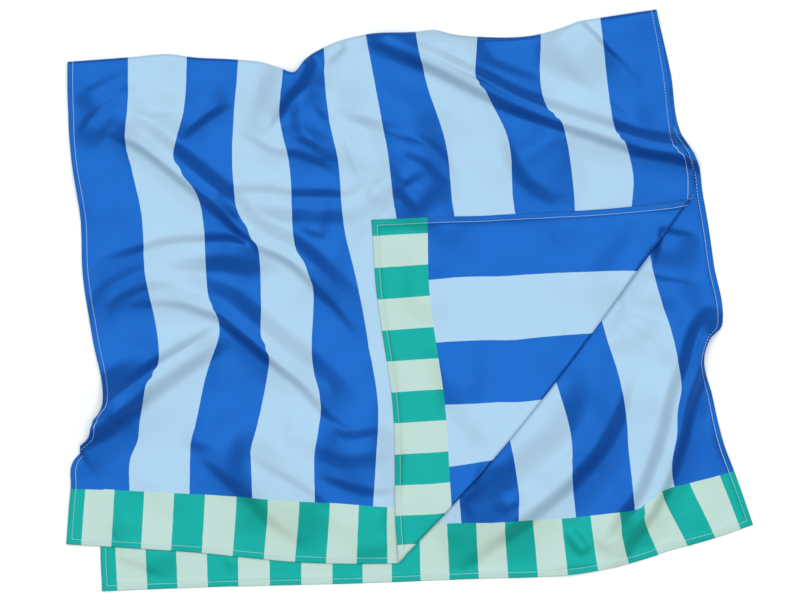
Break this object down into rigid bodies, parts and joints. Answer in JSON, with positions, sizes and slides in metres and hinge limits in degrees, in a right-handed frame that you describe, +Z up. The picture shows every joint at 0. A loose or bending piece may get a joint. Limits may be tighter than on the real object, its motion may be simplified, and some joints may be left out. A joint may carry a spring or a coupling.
{
  "type": "beach towel",
  "caption": "Beach towel folded in half and laid flat, its upper corner turned back, with wide stripes, striped end borders and a stitched hem.",
  "frame": {"origin": "on the flat underside of the lower half, near the middle of the folded towel", "axes": "+X along the top fold, the folded towel's longest side, to the right as seen from above; +Y from the hems to the top fold; +Z up"},
  "size_m": [0.9199, 0.779, 0.0339],
  "materials": {
    "cloth": "smooth, softly shining"
  },
  "bodies": {
    "root": {"towel": "cloth"}
  },
  "joints": []
}
